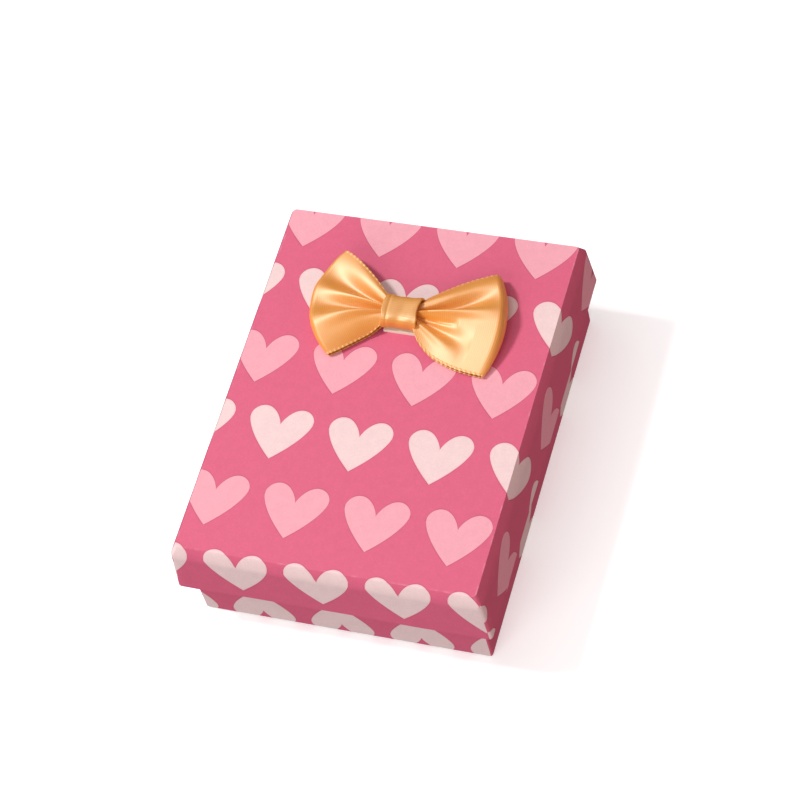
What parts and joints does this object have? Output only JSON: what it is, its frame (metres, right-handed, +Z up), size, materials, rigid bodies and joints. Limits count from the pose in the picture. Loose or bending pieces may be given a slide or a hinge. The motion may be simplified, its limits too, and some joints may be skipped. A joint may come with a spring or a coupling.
{
  "type": "jewelry gift box",
  "caption": "Two-piece rigid paper gift box for jewelry, with a lift-off telescoping lid, a sponge pad inside and a ribbon bow on the lid.",
  "frame": {"origin": "middle of the underside, on the surface that the box stands on", "axes": "+Z up, +X to the right, +Y to the back: the bow sits near the back edge and the hearts point to the front"},
  "size_m": [0.07, 0.092, 0.0336],
  "materials": {
    "greyboard": "matte",
    "kraft_tape": "matte",
    "heart_paper": "satin",
    "satin_ribbon": "satin",
    "thread": "matte",
    "glue": "satin",
    "sponge": "matte",
    "flock": "matte"
  },
  "bodies": {
    "base": {"base_board": "greyboard", "base_corner_stay_1": "kraft_tape", "base_corner_stay_2": "kraft_tape", "base_corner_stay_3": "kraft_tape", "base_corner_stay_4": "kraft_tape", "base_wrap": "heart_paper"},
    "lid": {"lid_board": "greyboard", "lid_corner_stay_1": "kraft_tape", "lid_corner_stay_2": "kraft_tape", "lid_corner_stay_3": "kraft_tape", "lid_corner_stay_4": "kraft_tape", "lid_wrap": "heart_paper", "bow_ribbon": "satin_ribbon", "bow_knot_band": "satin_ribbon", "bow_thread": "thread", "bow_glue_pad": "glue"},
    "pad": {"foam_pad": "sponge", "pad_face": "flock"}
  },
  "joints": [
    {"name": "lid_lift", "type": "slide", "parent": "base", "child": "lid", "axis": [0, 0, 1], "range_m": [0, 0.04]},
    {"name": "pad_lift", "type": "slide", "parent": "base", "child": "pad", "axis": [0, 0, 1], "range_m": [0, 0.0075]}
  ]
}
